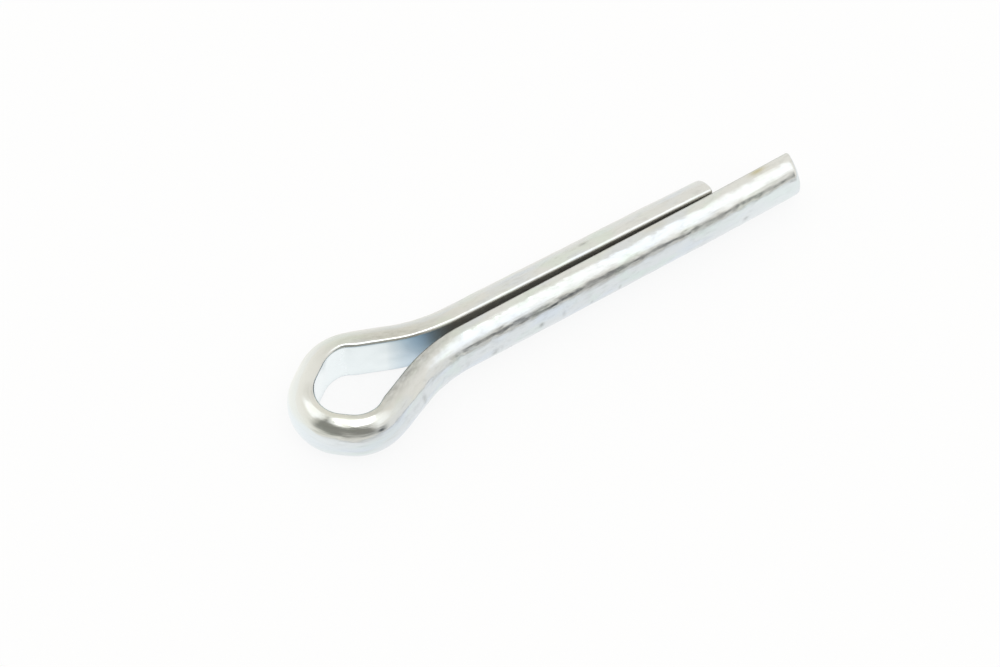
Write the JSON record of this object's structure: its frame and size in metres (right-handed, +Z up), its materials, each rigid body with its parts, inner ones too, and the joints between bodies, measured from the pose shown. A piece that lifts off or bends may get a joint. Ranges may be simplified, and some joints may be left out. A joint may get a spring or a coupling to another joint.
{
  "type": "cotter pin",
  "caption": "Split cotter pin of half-round plated steel wire, folded into a teardrop eye and close-set legs of unequal length, for locking a nut or clevis pin.",
  "frame": {"origin": "on the shank's axis, in the plane where the neck bends end and the straight legs begin, half way up the wire", "axes": "+X along the shank from the eye to the tips, +Y towards the short leg, +Z up with the plane of the eye level, as the pin lies on a table"},
  "size_m": [0.0512, 0.0116, 0.0054],
  "materials": {
    "wire": "bright zinc plating, drawn wire, semi-gloss with fine lengthwise lines"
  },
  "bodies": {
    "root": {"split_pin": "wire"}
  },
  "joints": []
}
